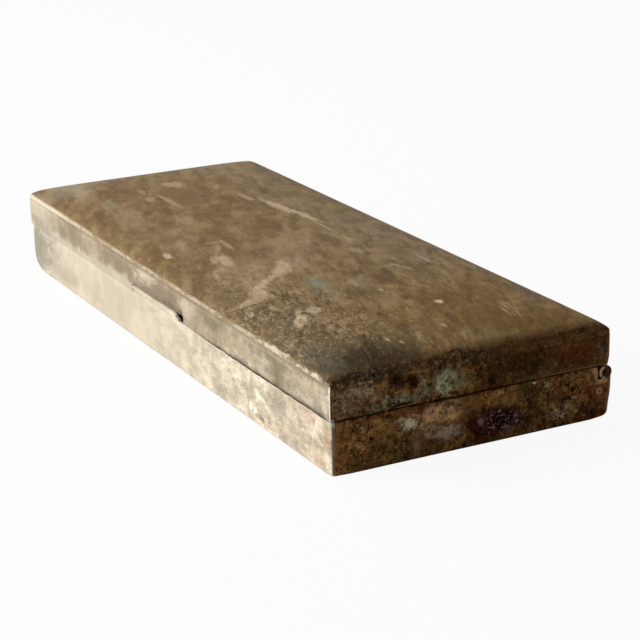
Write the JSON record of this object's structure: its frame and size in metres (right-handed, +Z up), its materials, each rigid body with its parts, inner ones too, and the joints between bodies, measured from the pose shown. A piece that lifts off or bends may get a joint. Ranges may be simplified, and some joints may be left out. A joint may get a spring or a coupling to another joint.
{
  "type": "hinged table box",
  "caption": "Flat rectangular table box with a domed hinged lid, a thumb lip on the front rim, a rolled knuckle hinge along the back and a divided cedar lining.",
  "frame": {"origin": "centre of the flat underside, midway along the length of the base and between its front and its back", "axes": "+X along the hinge towards the end seen in the picture, -Y towards the thumb lip at the front, +Y towards the hinge, +Z up out of the lid"},
  "size_m": [0.2204, 0.0876, 0.0306],
  "materials": {
    "side_plate": "worn silver plate, warm grey film and drips",
    "end_plate": "heavily tarnished plate, dark brown",
    "top_plate": "mottled khaki-brown tarnish, finely scratched",
    "inside_plate": "dull silver plate",
    "hinge_metal": "worn plate over brass",
    "pin_steel": "dark drawn wire",
    "cedar": "bare cedar, lightly oiled"
  },
  "bodies": {
    "base": {"bottom_plate": "inside_plate", "base_front_wall": "side_plate", "base_back_wall": "side_plate", "base_left_wall": "end_plate", "base_right_wall": "end_plate", "thumb_lip": "side_plate", "hinge_trough": "hinge_metal", "base_knuckle_left": "hinge_metal", "base_knuckle_middle": "hinge_metal", "base_knuckle_right": "hinge_metal", "hinge_pin": "pin_steel", "lining_floor": "cedar", "lining_front": "cedar", "lining_back": "cedar", "lining_left": "cedar", "lining_right": "cedar", "lining_divider": "cedar"},
    "lid": {"lid_top_plate": "top_plate", "lid_front_wall": "side_plate", "lid_back_wall": "side_plate", "lid_left_wall": "end_plate", "lid_right_wall": "end_plate", "lid_knuckle_left": "hinge_metal", "lid_knuckle_right": "hinge_metal"}
  },
  "joints": [
    {"name": "lid_hinge", "type": "hinge", "parent": "base", "child": "lid", "pos_m": [0, 0.0415, 0.0134], "axis": [-1, 0, 0], "range_deg": [0, 100]}
  ]
}
